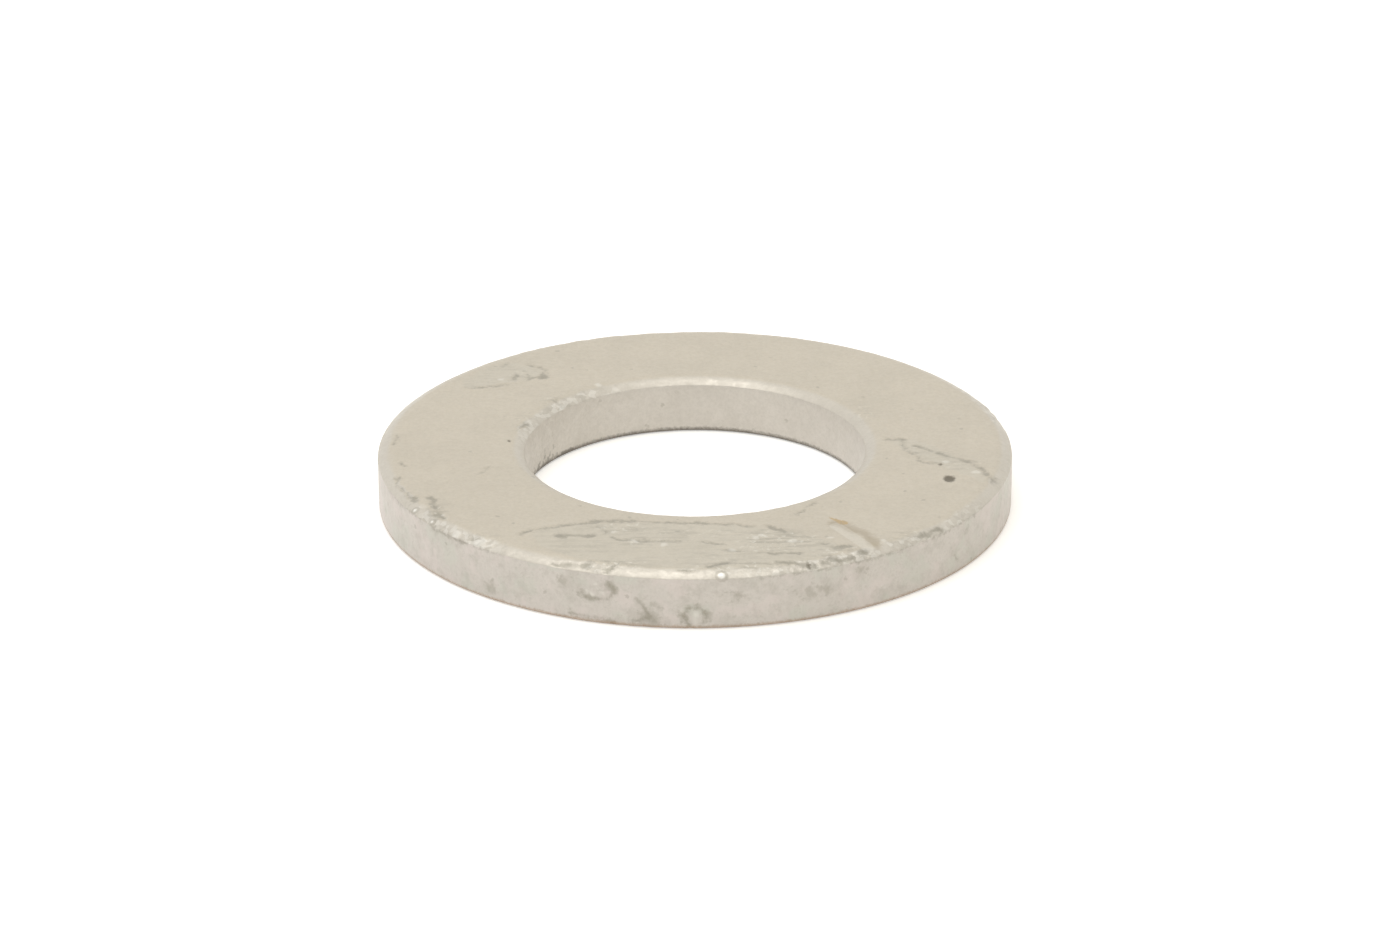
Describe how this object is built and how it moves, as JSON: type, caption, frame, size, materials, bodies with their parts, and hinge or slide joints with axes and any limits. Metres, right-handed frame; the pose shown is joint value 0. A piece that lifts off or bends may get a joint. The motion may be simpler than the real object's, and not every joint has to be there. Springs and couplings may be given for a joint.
{
  "type": "flat washer",
  "caption": "Thick round flat washer of galvanised steel with a plain centre hole, which spreads the clamping load of a bolt head or nut.",
  "frame": {"origin": "centre of the hole, in the plane of the lower bearing face that the washer rests on", "axes": "+Z along the hole, out of the upper face that has the rolled edges; X and Y are any two directions across the ring, which is round"},
  "size_m": [0.0444, 0.0444, 0.0041],
  "materials": {
    "galvanised_steel": "dull hot-dip galvanised zinc, fine grained, with soft sheen on the rolled edges"
  },
  "bodies": {
    "root": {"washer": "galvanised_steel"}
  },
  "joints": []
}
